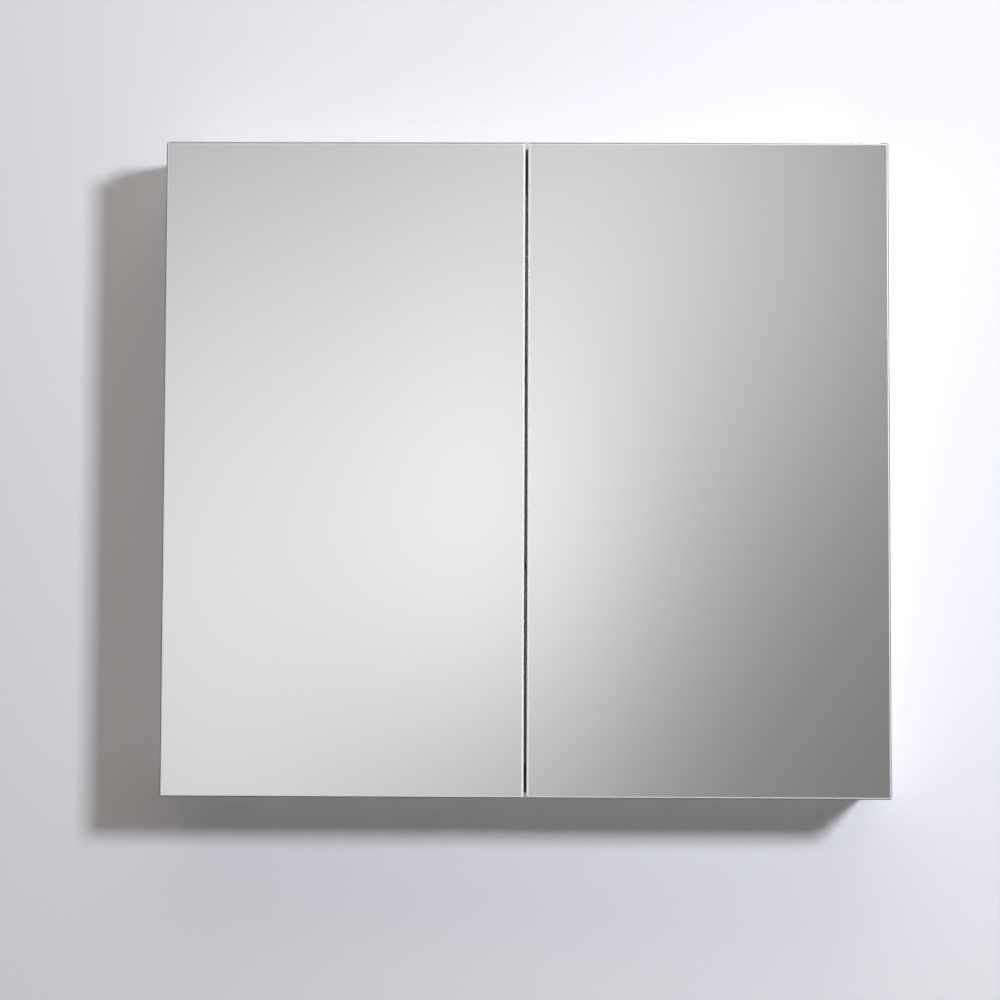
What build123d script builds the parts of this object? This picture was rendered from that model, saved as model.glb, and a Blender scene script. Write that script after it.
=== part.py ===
from build123d import *
import os

# Mirrored medicine cabinet for a bathroom wall, in millimetres.
# X runs to the right, Y into the wall, Z up. The origin is the middle of the back, on the wall plane.

# Overall sizes
WIDTH = 724.0
HEIGHT = 660.0
DEPTH = 127.0
BODY_ABOVE_DOORS = 6.0

# Doors
DOOR_THICK = 22.0
DOOR_TO_BODY = 3.0
BETWEEN_DOORS = 3.0
MIRROR_THICK = 4.0
MIRROR_ARRIS = 1.1
MIRROR_CORNER = 1.6
EDGE_STRIP = 1.5

# Body
SIDE_MIRROR_THICK = 4.0
PROFILE_THICK = 20.0
PROFILE_WALL = 1.6
BACK_SHEET = 1.5
BACK_RECESS = 11.0
GROOVE_PLAY = 0.1
GROOVE_DEEP = 5.0

BODY_DEPTH = DEPTH - DOOR_THICK - DOOR_TO_BODY
BODY_WIDTH = WIDTH - 2 * SIDE_MIRROR_THICK
HALF_BODY = BODY_WIDTH / 2
HALF_HEIGHT = HEIGHT / 2
INNER_X = HALF_BODY - PROFILE_THICK
INNER_Z = HALF_HEIGHT - PROFILE_THICK
SHEET_BACK = -BACK_RECESS - GROOVE_PLAY / 2
SHEET_FRONT = SHEET_BACK - BACK_SHEET
INNER_MIRROR_FRONT = SHEET_FRONT - MIRROR_THICK

DOOR_WIDTH = (WIDTH - BETWEEN_DOORS) / 2
DOOR_HEIGHT = HEIGHT - BODY_ABOVE_DOORS
DOOR_MID_Z = -BODY_ABOVE_DOORS / 2
DOOR_BACK = -DEPTH + DOOR_THICK
CORE_THICK = DOOR_THICK - 2 * MIRROR_THICK

os.makedirs("parts", exist_ok=True)


def save(shape, node):
    """Write one sub-part to its own file."""
    export_step(shape, f"parts/{node}.step")


def block(low, high):
    """A box given by its lowest and highest corners."""
    size = [h - l for l, h in zip(low, high)]
    mid = [(l + h) / 2 for l, h in zip(low, high)]
    return Pos(*mid) * Box(*size)


def rod(radius, start, end):
    """A round bar between two points."""
    axis = Vector(*end) - Vector(*start)
    return Solid.make_cylinder(radius, axis.length, Plane(origin=start, z_dir=axis))


def group(pieces):
    """Several like pieces kept apart in one node."""
    solids = [solid for piece in pieces for solid in piece.solids()]
    return solids[0] if len(solids) == 1 else Compound(children=solids)


def mirrored(shape, plane=Plane.YZ):
    """The same piece on the other side of the middle plane."""
    return group(solid.mirror(plane) for solid in shape.solids())


# ---------------------------------------------------------------- body profiles

SCREW_PLAY = 0.1
CORNER_SCREW_PLAY = 0.2
CHAMBERS = [(1.6, 9.0), (15.0, 55.0), (57.0, 100.4)]
PIN_HOLE_R = 2.6
SHELF_HEIGHTS = [-103.0, 103.0]
SHELF_THICK = 6.0
SHELF_FRONT = -96.5
SHELF_PIN_Y = [-35.0, -80.0]
SLEEVE_R = 3.6
ROW_PITCH = 32.0
ROWS_EACH_SIDE = 2
HOLE_START = 4.0

HINGE_FROM_END = 102.0
HINGE_SPREAD = DOOR_HEIGHT / 2 - HINGE_FROM_END
HINGE_HEIGHTS = [DOOR_MID_Z - HINGE_SPREAD, DOOR_MID_Z + HINGE_SPREAD]


def profile_section(length):
    """Hollow panel profile standing on end: outer face at X 0, wall side at Y 0, both ends mitred."""
    solid = block((0, -BODY_DEPTH, -length / 2), (PROFILE_THICK, 0, length / 2))
    for near, far in CHAMBERS:
        low = (PROFILE_WALL, -far, -length / 2)
        solid -= block(low, (PROFILE_THICK - PROFILE_WALL, -near, length / 2))
    groove_low = (PROFILE_THICK - GROOVE_DEEP, -BACK_RECESS - BACK_SHEET - GROOVE_PLAY, -length / 2)
    solid -= block(groove_low, (PROFILE_THICK, -BACK_RECESS, length / 2))
    inner = length / 2 - PROFILE_THICK
    outline = Polyline(
        (0, -length / 2), (0, length / 2), (PROFILE_THICK, inner), (PROFILE_THICK, -inner), close=True
    )
    mitre = extrude(Plane.XZ * make_face(outline), BODY_DEPTH)
    return solid & mitre


def pin_rows():
    """Heights of all the shelf pin holes in one side."""
    steps = range(-ROWS_EACH_SIDE, ROWS_EACH_SIDE + 1)
    return [shelf - SLEEVE_R + ROW_PITCH * step for shelf in SHELF_HEIGHTS for step in steps]


def side_profile():
    """Left side of the body with its pin rows, hinge screw holes and corner screw holes."""
    side = Pos(-HALF_BODY, 0, 0) * profile_section(HEIGHT)
    through = (-INNER_X - HOLE_START, -INNER_X + 1)
    holes = [(PIN_HOLE_R, y, z) for y in SHELF_PIN_Y for z in pin_rows()]
    for height in HINGE_HEIGHTS:
        holes += [(PLATE_SCREW_R + SCREW_PLAY, PLATE_SCREW_Y, height + dz) for dz in PLATE_SCREW_Z]
    holes += [(CORNER_SCREW_R + CORNER_SCREW_PLAY, KEY_MID_Y, sign * KEY_SCREW_Z) for sign in (-1, 1)]
    for radius, y, z in holes:
        side -= rod(radius, (through[0], y, z), (through[1], y, z))
    return side


def top_profile():
    """Top of the body; the side that faces the shelves carries two corner screw holes."""
    top = Pos(0, 0, HALF_HEIGHT) * Rot(0, 90, 0) * profile_section(BODY_WIDTH)
    radius = CORNER_SCREW_R + CORNER_SCREW_PLAY
    for x in (-KEY_SCREW_X, KEY_SCREW_X):
        top -= rod(radius, (x, KEY_MID_Y, INNER_Z - 1), (x, KEY_MID_Y, INNER_Z + HOLE_START))
    return top


# ---------------------------------------------------------------- corner keys

KEY_THICK = 6.0
KEY_PLAY = 0.2
KEY_ARM = 46.0
KEY_BEND_R = 2.0
KEY_Y = (-99.0, -59.0)
KEY_MID_Y = sum(KEY_Y) / 2
CORNER_SCREW_R = 2.0
CORNER_SCREW_HEAD_R = 3.6
CORNER_SCREW_HEAD = 2.2
CORNER_SCREW_LONG = 8.5
KEY_SCREW_IN = 22.0
KEY_SCREW_Z = INNER_Z - KEY_SCREW_IN
KEY_SCREW_X = INNER_X - KEY_SCREW_IN


def corner_key():
    """Top left angle key that sits in the front chambers of two profiles."""
    x0 = -INNER_X - PROFILE_WALL - KEY_PLAY - KEY_THICK
    z1 = INNER_Z + PROFILE_WALL + KEY_PLAY + KEY_THICK
    upright = block((x0, KEY_Y[0], z1 - KEY_ARM), (x0 + KEY_THICK, KEY_Y[1], z1))
    across = block((x0, KEY_Y[0], z1 - KEY_THICK), (x0 + KEY_ARM, KEY_Y[1], z1))
    key = upright + across
    bend = key.edges().filter_by(Axis.Y).sort_by(lambda e: e.center().X - e.center().Z)
    key = fillet(bend[0], KEY_BEND_R)
    radius, y, past = CORNER_SCREW_R + SCREW_PLAY, KEY_MID_Y, KEY_THICK + 1
    key -= rod(radius, (x0 - 1, y, KEY_SCREW_Z), (x0 + past, y, KEY_SCREW_Z))
    return key - rod(radius, (-KEY_SCREW_X, y, z1 - past), (-KEY_SCREW_X, y, z1 + 1))


SLOT_HALF = 0.4
SLOT_REACH = 0.55
SLOT_DEEP = 0.45
HEAD_ROUND = 0.4


def pan_screw(radius, head_r, head, length):
    """Pan head screw with a cross slot, head up along Z, its seat at Z 0."""
    screw = rod(radius, (0, 0, -length), (0, 0, 0)) + rod(head_r, (0, 0, 0), (0, 0, head))
    rim = screw.edges().filter_by(GeomType.CIRCLE).sort_by(Axis.Z)[-1]
    screw = fillet(rim, head * HEAD_ROUND)
    slot, low = head_r * SLOT_REACH, head * (1 - SLOT_DEEP)
    screw -= block((-slot, -SLOT_HALF, low), (slot, SLOT_HALF, head + 1))
    return screw - block((-SLOT_HALF, -slot, low), (SLOT_HALF, slot, head + 1))


def four_corners(piece):
    """Copies of a top left piece in all four corners of the body."""
    low = mirrored(piece, Plane.XY)
    return [piece, low, mirrored(piece), mirrored(low)]


def corner_screws():
    screw = pan_screw(CORNER_SCREW_R, CORNER_SCREW_HEAD_R, CORNER_SCREW_HEAD, CORNER_SCREW_LONG)
    upright = Pos(-INNER_X, KEY_MID_Y, KEY_SCREW_Z) * Rot(0, 90, 0) * screw
    across = Pos(-KEY_SCREW_X, KEY_MID_Y, INNER_Z) * Rot(180, 0, 0) * screw
    return group(four_corners(upright) + four_corners(across))


# ---------------------------------------------------------------- back and hanging rails

SHEET_IN_GROOVE = 4.5
INNER_MIRROR_PLAY = 1.0
RAIL_THICK = 2.5
RAIL_SLOT = 2.9
RAIL_LIP = 18.0
WALL_FLANGE = 25.0
HANG_FLANGE = 27.5
WALL_RAIL_LONG = 560.0
HANG_RAIL_LONG = 620.0
WALL_HOLE_R = 2.75
STUD_SPACING = 406.4
WALL_HOLE_Z = 242.0
RIVET_X = [-270.0, -90.0, 90.0, 270.0]
RIVET_UP = 38.0
RIVET_R = 2.0
RIVET_HEAD_R = 3.5
RIVET_HEAD = 1.25
RIVET_PLAY = 0.1
LIP_PLAY = 2.0
WALL_PLAY = 0.2
HANG_FACE = SHEET_BACK + RAIL_THICK


def back_sheet():
    """Aluminium sheet held in the groove all round, drilled for the rail rivets."""
    x, z = INNER_X + SHEET_IN_GROOVE, INNER_Z + SHEET_IN_GROOVE
    sheet = block((-x, SHEET_FRONT, -z), (x, SHEET_BACK, z))
    for x, z in rivet_places():
        sheet -= rod(RIVET_R + RIVET_PLAY, (x, SHEET_FRONT - 1, z), (x, SHEET_BACK + 1, z))
    return sheet


def inner_mirror():
    x, z = INNER_X - INNER_MIRROR_PLAY, INNER_Z - INNER_MIRROR_PLAY
    return block((-x, INNER_MIRROR_FRONT, -z), (x, SHEET_FRONT, z))


def rail_bases():
    """Lowest point of the wall rails, one high and one low, both with the lip upwards."""
    return [sign * WALL_HOLE_Z - WALL_FLANGE / 2 for sign in (-1, 1)]


def rivet_places():
    return [(x, base + WALL_FLANGE + RIVET_UP) for base in rail_bases() for x in RIVET_X]


def rail_along_x(points, base, length):
    """A bar along X from an outline of (y, height above the base) points."""
    outline = Polyline(*[(y, base + up) for y, up in points], close=True)
    plane = Plane(origin=(-length / 2, 0, 0), x_dir=(0, 1, 0), z_dir=(1, 0, 0))
    return extrude(plane * make_face(outline), length)


def wall_rail(base):
    """Wall half of the hanging pair: flange on the wall, slot and lip pointing up."""
    t, slot, top = RAIL_THICK, RAIL_SLOT, WALL_FLANGE + RAIL_LIP
    points = [(0, 0), (0, WALL_FLANGE), (-slot, WALL_FLANGE), (-slot, top), (-slot - t, top)]
    points += [(-slot - t, WALL_FLANGE - t), (-t, WALL_FLANGE - t), (-t, 0)]
    rail = rail_along_x(points, base, WALL_RAIL_LONG)
    z = base + WALL_FLANGE / 2
    for x in (-STUD_SPACING / 2, STUD_SPACING / 2):
        rail -= rod(WALL_HOLE_R, (x, -2 * t, z), (x, 1, z))
    return rail


def hanging_rail(base):
    """Body half of the pair: flange on the back sheet, lip pointing down into the wall rail's slot."""
    t, low, near = RAIL_THICK, WALL_FLANGE, -WALL_PLAY
    knee = low + RAIL_LIP + LIP_PLAY
    top = knee + t + HANG_FLANGE
    points = [(near, low), (near, knee + t), (HANG_FACE, knee + t), (HANG_FACE, top)]
    points += [(SHEET_BACK, top), (SHEET_BACK, knee), (near - t, knee), (near - t, low)]
    rail = rail_along_x(points, base, HANG_RAIL_LONG)
    for x, z in rivet_places():
        rail -= rod(RIVET_R + RIVET_PLAY, (x, SHEET_BACK - 1, z), (x, 0, z))
    return rail


def rail_rivets():
    rivets = []
    for x, z in rivet_places():
        shank = rod(RIVET_R, (x, SHEET_FRONT, z), (x, HANG_FACE, z))
        head = rod(RIVET_HEAD_R, (x, HANG_FACE, z), (x, HANG_FACE + RIVET_HEAD, z))
        rivets.append(shank + head)
    return group(rivets)


# ---------------------------------------------------------------- side mirrors, shelves, bumpers

SIDE_ARRIS = 0.5
SHELF_END_PLAY = 2.0
SHELF_EDGE = 1.2
PIN_R = 2.5
PIN_IN_WALL = 7.0
PIN_OUT = 9.0
PIN_COLLAR_R = 3.4
PIN_COLLAR = 1.0
SLEEVE_PLAY = 0.05
BUMPER_R = 4.5
BUMPER_THICK = 2.6
BUMPER_ROUND = 0.8
BUMPER_X = 22.0
BUMPER_Z = 316.0


def side_mirror():
    """Left outer mirror, bonded to the side profile, with its long front edge eased."""
    plate = block((-WIDTH / 2, -BODY_DEPTH, -HALF_HEIGHT), (-HALF_BODY, 0, HALF_HEIGHT))
    front = plate.faces().sort_by(Axis.X)[0]
    return chamfer(front.edges(), SIDE_ARRIS)


def shelf(height):
    """Toughened glass shelf with its edges rounded over."""
    x = INNER_X - SHELF_END_PLAY
    back = INNER_MIRROR_FRONT - SHELF_END_PLAY
    plate = block((-x, SHELF_FRONT, height), (x, back, height + SHELF_THICK))
    long_edges = plate.edges().filter_by(Axis.X) + plate.edges().filter_by(Axis.Y)
    return fillet(long_edges, SHELF_EDGE)


def pin_places():
    return [(y, height - SLEEVE_R) for height in SHELF_HEIGHTS for y in SHELF_PIN_Y]


def shelf_pins():
    pins = []
    for y, z in pin_places():
        pin = rod(PIN_R, (-INNER_X - PIN_IN_WALL, y, z), (-INNER_X + PIN_OUT, y, z))
        pin += rod(PIN_COLLAR_R, (-INNER_X, y, z), (-INNER_X + PIN_COLLAR, y, z))
        pins += [pin, mirrored(pin)]
    return group(pins)


def pin_sleeves():
    sleeves = []
    for y, z in pin_places():
        start, end = (-INNER_X + PIN_COLLAR, y, z), (-INNER_X + PIN_OUT, y, z)
        sleeve = rod(SLEEVE_R, start, end) - rod(PIN_R + SLEEVE_PLAY, start, end)
        sleeves += [sleeve, mirrored(sleeve)]
    return group(sleeves)


def door_bumpers():
    """Soft dots on the front of the body near the free edges of the doors."""
    dots = []
    for z in (-BUMPER_Z, BUMPER_Z):
        dot = rod(BUMPER_R, (-BUMPER_X, -BODY_DEPTH, z), (-BUMPER_X, -BODY_DEPTH - BUMPER_THICK, z))
        dot = fillet(dot.edges().filter_by(GeomType.CIRCLE).sort_by(Axis.Y)[0], BUMPER_ROUND)
        dots += [dot, mirrored(dot)]
    return group(dots)


# ---------------------------------------------------------------- doors

BACK_MIRROR_INSET = 2.0
CUP_X = 24.5
CUP_R = 17.5
CUP_DEEP = 12.0
CUP_PLAY = 0.1
WING_SCREW_X = 30.0
WING_SCREW_Z = 24.0
WING_SCREW_R = 1.7
WING_SCREW_LONG = 10.5


def in_door(x, y, z=0.0):
    """A point given from the left door's outer edge and back face, in the cabinet's frame."""
    return (-WIDTH / 2 + x, DOOR_BACK + y, z)


def door_slab(inset, near, far):
    """A full plate of the left door between two depths behind or in front of its back face."""
    z0, z1 = DOOR_MID_Z - DOOR_HEIGHT / 2, DOOR_MID_Z + DOOR_HEIGHT / 2
    return block(in_door(inset, far, z0 + inset), in_door(DOOR_WIDTH - inset, near, z1 - inset))


def door_mirror():
    """Front mirror of the left door: rounded corners and a polished arris all round."""
    plate = door_slab(0, MIRROR_THICK - DOOR_THICK, -DOOR_THICK)
    plate = fillet(plate.edges().filter_by(Axis.Y), MIRROR_CORNER)
    front = plate.faces().sort_by(Axis.Y)[0]
    return chamfer(front.edges(), MIRROR_ARRIS)


def cup_bores(depth, clearance):
    """What the cups and their screws take out of the left door, down to a depth below its back."""
    tools = []
    for z in HINGE_HEIGHTS:
        tools.append(rod(CUP_R + clearance, in_door(CUP_X, 1, z), in_door(CUP_X, -depth, z)))
        for dz in (-WING_SCREW_Z, WING_SCREW_Z):
            start, end = in_door(WING_SCREW_X, 1, z + dz), in_door(WING_SCREW_X, -depth, z + dz)
            tools.append(rod(WING_SCREW_R + clearance, start, end))
    return tools


def door_core():
    """Board between the two mirrors, bored for the cups."""
    core = door_slab(EDGE_STRIP, -MIRROR_THICK, MIRROR_THICK - DOOR_THICK)
    for tool in cup_bores(CUP_DEEP + CUP_PLAY, CUP_PLAY):
        core -= tool
    return core


def door_back_mirror():
    plate = door_slab(BACK_MIRROR_INSET, 0, -MIRROR_THICK)
    for tool in cup_bores(MIRROR_THICK + 1, CUP_PLAY):
        plate -= tool
    return plate


def edge_strips():
    """The four mitred metal strips round the left door, by name."""
    ring = door_slab(0, -MIRROR_THICK, MIRROR_THICK - DOOR_THICK)
    ring -= door_slab(EDGE_STRIP, 0, -DOOR_THICK)
    half_w, half_h = DOOR_WIDTH / 2, DOOR_HEIGHT / 2
    centre = Plane(origin=in_door(half_w, 0, DOOR_MID_Z), x_dir=(1, 0, 0), z_dir=(0, -1, 0))
    high, low = (0, half_h - half_w), (0, half_w - half_h)
    wedges = {
        "hinge_edge": [(-half_w, -half_h), (-half_w, half_h), high, low],
        "free_edge": [(half_w, -half_h), (half_w, half_h), high, low],
        "top_edge": [(-half_w, half_h), (half_w, half_h), high],
        "bottom_edge": [(-half_w, -half_h), (half_w, -half_h), low],
    }
    strips = {}
    for name, points in wedges.items():
        wedge = extrude(centre * make_face(Polyline(*points, close=True)), DOOR_THICK)
        strips[name] = ring & wedge
    return strips


# ---------------------------------------------------------------- concealed hinges
# Pivots of the four-bar linkage, seen from above: x from the door's outer edge, y from its back face
# towards the wall. The long link joins LONG_FIXED to LONG_CUP, the short link SHORT_FIXED to SHORT_CUP.

LONG_FIXED = (47.0, 5.5)
LONG_CUP = (13.3, -2.2)
SHORT_FIXED = (36.0, -8.0)
SHORT_CUP = (14.2, -6.0)
OPEN_PIVOT_PLAY = 1.4

CUP_WALL = 1.3
CUP_FLOOR = 1.2
CUP_RIM_R = 19.5
FLANGE_THICK = 1.2
WING_HALF = 30.0
WING_X = (23.0, 37.0)
WING_ROUND = 5.0
WING_HEAD_R = 3.1
WING_HEAD = 1.3
BOSS_X = (LONG_CUP[0] - 4.0, SHORT_CUP[0] + 3.5)
BOSS_INTO_WALL = 0.2
PIN_INTO_BOSS = 2.5
NOTCH_PLAY = 0.4
NOTCH_X = 12.5
NOTCH_HALF = 11.5
NOTCH_DEEP = 2.6

SHORT_LINK_HALF = 4.4
CHEEK_IN, CHEEK_OUT = 4.8, 6.2
LONG_IN, LONG_OUT = 6.8, 8.2
BOSS_IN = 8.6
FIXED_PIN_R = 1.2
CUP_PIN_R = 1.0
RUNNING_PLAY = 0.05
LINK_HALF = 1.5
LINK_EYE_R = 2.0
SHORT_EYE_R = 2.2
STUB_PAST_LINK = 0.2
LINK_WEB_ALONG = 24.0
LINK_WEB_ASIDE = 1.1
LINK_WEB = (5.0, 1.3, 2 * LONG_OUT - 0.4)
ALL_THROUGH = 9.0
ARM_BACK = 62.0
ARM_X = (32.0, 46.0)
ARM_WEB = 1.4
ARM_SHOULDER = 14.0
PIN_END = LONG_OUT + 0.5
PIN_HEAD_R = 1.9
PIN_HEAD_GAP = 0.1
PIN_HEAD = 0.8
NOSE_R = 2.4
ELBOW_R = 2.8

PLATE_BASE = 4.0
PLATE_Y = (22.0, 60.0)
PLATE_HALF = 22.0
PLATE_WAIST = 9.0
PLATE_WING_Y = (32.0, 48.0)
PLATE_WING_ROUND = 4.0
HUMP_Y = (25.0, 58.0)
PLATE_HEAD_R = 4.2
PLATE_HEAD = 1.8
ADJUST_HEAD_R = 3.4
ADJUST_HEAD = 1.4
HUMP_X = 40.0
HUMP_HALF = 4.5
PLATE_SCREW_R = 2.5
PLATE_SCREW_Y = DOOR_BACK + 40.0
PLATE_SCREW_Z = [-16.0, 16.0]
PLATE_SCREW_LONG = 9.0
ADJUST_Y = [34.0, 51.0]
ADJUST_R = 2.0
ADJUST_LONG = 11.0
DAMPER_R = 3.2
DAMPER_Y = (12.0, 21.0)
DAMPER_X = 39.0
PISTON_R = 1.2
PISTON_OUT = 4.0
SIDE_FACE_X = SIDE_MIRROR_THICK + PROFILE_THICK


def at_hinge(piece, height):
    """Move a piece drawn in the hinge's own frame to the left door at a height."""
    return Pos(*in_door(0, 0, height)) * piece


def disc(radius, centre, z0, z1):
    """A round plate on a vertical axis in the hinge's own frame."""
    return rod(radius, (*centre, z0), (*centre, z1))


def heading(direction):
    """Angle of a level direction from +X, anticlockwise from above, in degrees."""
    return Vector(1, 0, 0).get_signed_angle(direction, Vector(0, 0, 1))


def bar_between(start, end, half_width, z0, z1):
    """A flat bar with round ends between two pivots in the hinge's own frame."""
    along = Vector(*end) - Vector(*start)
    mid = (Vector(*start) + Vector(*end)) / 2
    turn = heading(along)
    bar = Pos(mid.X, mid.Y, (z0 + z1) / 2) * Rot(0, 0, turn) * Box(along.length, 2 * half_width, z1 - z0)
    return bar + disc(half_width, start, z0, z1) + disc(half_width, end, z0, z1)


def hinge_cup():
    """Cup with its flange, two screw wings, and the bosses that hold the pins."""
    centre_top, centre_low = (CUP_X, 0, 0), (CUP_X, -CUP_DEEP, 0)
    inside = rod(CUP_R - CUP_WALL, (CUP_X, FLANGE_THICK + 1, 0), (CUP_X, CUP_FLOOR - CUP_DEEP, 0))
    flange = rod(CUP_RIM_R, centre_top, (CUP_X, FLANGE_THICK, 0))
    wing = block((WING_X[0], 0, -WING_HALF), (WING_X[1], FLANGE_THICK, WING_HALF))
    wing = fillet(wing.edges().filter_by(Axis.Y), WING_ROUND)
    notch = block((0, 0, -NOTCH_HALF), (NOTCH_X, FLANGE_THICK + 1, NOTCH_HALF))
    cup = rod(CUP_R, centre_low, centre_top) + flange + wing - inside - notch
    inner, outer = LONG_IN - NOTCH_PLAY, LONG_OUT + NOTCH_PLAY
    for z0, z1 in ((inner, outer), (-outer, -inner)):
        cup -= block((0, -NOTCH_DEEP, z0), (NOTCH_X, 1, z1))
    for dz in (-WING_SCREW_Z, WING_SCREW_Z):
        hole_top = (WING_SCREW_X, FLANGE_THICK + 1, dz)
        cup -= rod(WING_SCREW_R + SCREW_PLAY, (WING_SCREW_X, -1, dz), hole_top)
    well_low = (CUP_X, CUP_FLOOR - CUP_DEEP - BOSS_INTO_WALL, 0)
    well = rod(CUP_R - CUP_WALL + BOSS_INTO_WALL, (CUP_X, -BOSS_INTO_WALL, 0), well_low)
    for z0, z1 in ((-CUP_R, -BOSS_IN), (BOSS_IN, CUP_R)):
        cup += block((BOSS_X[0], -CUP_DEEP, z0), (BOSS_X[1], 0, z1)) & well
    reach = BOSS_IN + PIN_INTO_BOSS + SCREW_PLAY
    for pivot in (LONG_CUP, SHORT_CUP):
        cup -= disc(CUP_PIN_R + RUNNING_PLAY, pivot, -reach, reach)
    return cup


def cup_pins():
    """One full pin for the short link and two stubs for the long link's plates."""
    reach = BOSS_IN + PIN_INTO_BOSS
    full = disc(CUP_PIN_R, SHORT_CUP, -reach, reach)
    near = LONG_IN - STUB_PAST_LINK
    return [full, disc(CUP_PIN_R, LONG_CUP, near, reach), disc(CUP_PIN_R, LONG_CUP, -reach, -near)]


def wing_screws():
    """Low headed screws that hold the cup's wings to the door."""
    screw = pan_screw(WING_SCREW_R, WING_HEAD_R, WING_HEAD, WING_SCREW_LONG)
    upright = Rot(-90, 0, 0) * screw
    return [Pos(WING_SCREW_X, FLANGE_THICK, dz) * upright for dz in (-WING_SCREW_Z, WING_SCREW_Z)]


def long_link():
    """Two plates joined by a web; it carries the door."""
    along = (Vector(*LONG_CUP) - Vector(*LONG_FIXED)).normalized()
    aside = Vector(along.Y, -along.X)
    spot = Vector(*LONG_FIXED) + along * LINK_WEB_ALONG + aside * LINK_WEB_ASIDE
    link = Pos(spot.X, spot.Y, 0) * Rot(0, 0, heading(along)) * Box(*LINK_WEB)
    for z0, z1 in ((LONG_IN, LONG_OUT), (-LONG_OUT, -LONG_IN)):
        link += bar_between(LONG_FIXED, LONG_CUP, LINK_HALF, z0, z1)
        link += disc(LINK_EYE_R, LONG_CUP, z0, z1) + disc(ELBOW_R, LONG_FIXED, z0, z1)
    link -= disc(FIXED_PIN_R + RUNNING_PLAY, LONG_FIXED, -ALL_THROUGH, ALL_THROUGH)
    return link - disc(CUP_PIN_R + RUNNING_PLAY, LONG_CUP, -ALL_THROUGH, ALL_THROUGH)


def short_link():
    """Solid inner link; its cup end is an open fork round the cup's full pin."""
    link = bar_between(SHORT_FIXED, SHORT_CUP, LINK_HALF, -SHORT_LINK_HALF, SHORT_LINK_HALF)
    link += disc(SHORT_EYE_R, SHORT_FIXED, -SHORT_LINK_HALF, SHORT_LINK_HALF)
    link -= disc(FIXED_PIN_R + RUNNING_PLAY, SHORT_FIXED, -ALL_THROUGH, ALL_THROUGH)
    return link - disc(CUP_PIN_R + OPEN_PIVOT_PLAY, SHORT_CUP, -ALL_THROUGH, ALL_THROUGH)


def cheek(z0, z1):
    """Side plate of the arm's nose, reaching from the arm into the cup."""
    nose_x, nose_y = SHORT_FIXED
    elbow_x, elbow_y = LONG_FIXED
    points = [(ARM_X[0], ARM_BACK), (ARM_X[0], 10), (nose_x - NOSE_R, 4), (nose_x - NOSE_R, nose_y)]
    points += [(nose_x + NOSE_R, nose_y), (nose_x + NOSE_R, 2.6), (elbow_x, elbow_y - ELBOW_R)]
    points += [(elbow_x + ELBOW_R, elbow_y), (elbow_x + ELBOW_R, 9), (ARM_X[1], ARM_SHOULDER)]
    points += [(ARM_X[1], ARM_BACK)]
    plate = Pos(0, 0, z0) * extrude(make_face(Polyline(*points, close=True)), z1 - z0)
    plate += disc(NOSE_R, SHORT_FIXED, z0, z1)
    for pivot in (LONG_FIXED, SHORT_FIXED):
        plate -= disc(FIXED_PIN_R + RUNNING_PLAY, pivot, z0 - 1, z1 + 1)
    return plate


def hinge_arm():
    """Channel-shaped arm: two cheeks and a web, open towards the side of the body."""
    arm = cheek(CHEEK_IN, CHEEK_OUT) + cheek(-CHEEK_OUT, -CHEEK_IN)
    arm += block((ARM_X[1] - ARM_WEB, ARM_SHOULDER, -CHEEK_OUT), (ARM_X[1], ARM_BACK, CHEEK_OUT))
    for y in ADJUST_Y:
        arm -= rod(ADJUST_R + SCREW_PLAY, (ARM_X[1] - 3, y, 0), (ARM_X[1] + 1, y, 0))
    return arm


def arm_pins():
    """The long link's pin with riveted ends, and the short link's pin."""
    long_pin = disc(FIXED_PIN_R, LONG_FIXED, -PIN_END, PIN_END)
    near, far = LONG_OUT + PIN_HEAD_GAP, LONG_OUT + PIN_HEAD_GAP + PIN_HEAD
    for z0, z1 in ((near, far), (-far, -near)):
        long_pin += disc(PIN_HEAD_R, LONG_FIXED, z0, z1)
    return [long_pin, disc(FIXED_PIN_R, SHORT_FIXED, -CHEEK_OUT, CHEEK_OUT)]


def hinge_plate():
    """Mounting plate screwed to the side of the body, with the hump that the arm clips on."""
    face, top = SIDE_FACE_X, SIDE_FACE_X + PLATE_BASE
    base = block((face, PLATE_Y[0], -PLATE_WAIST), (top, PLATE_Y[1], PLATE_WAIST))
    wings = block((face, PLATE_WING_Y[0], -PLATE_HALF), (top, PLATE_WING_Y[1], PLATE_HALF))
    wings = fillet(wings.edges().filter_by(Axis.X), PLATE_WING_ROUND)
    hump = block((face, HUMP_Y[0], -HUMP_HALF), (HUMP_X, HUMP_Y[1], HUMP_HALF))
    plate = base + wings + hump
    for dz in PLATE_SCREW_Z:
        y = PLATE_SCREW_Y - DOOR_BACK
        plate -= rod(PLATE_SCREW_R + SCREW_PLAY, (face - 1, y, dz), (top + 1, y, dz))
    for y in ADJUST_Y:
        plate -= rod(ADJUST_R + SCREW_PLAY, (ARM_X[1] - ADJUST_LONG - 1, y, 0), (HUMP_X + 1, y, 0))
    return plate


def plate_screws():
    screw = Rot(0, 90, 0) * pan_screw(PLATE_SCREW_R, PLATE_HEAD_R, PLATE_HEAD, PLATE_SCREW_LONG)
    y = PLATE_SCREW_Y - DOOR_BACK
    return [Pos(SIDE_FACE_X + PLATE_BASE, y, dz) * screw for dz in PLATE_SCREW_Z]


def adjusting_screws():
    screw = Rot(0, 90, 0) * pan_screw(ADJUST_R, ADJUST_HEAD_R, ADJUST_HEAD, ADJUST_LONG)
    return [Pos(ARM_X[1], y, 0) * screw for y in ADJUST_Y]


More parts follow.
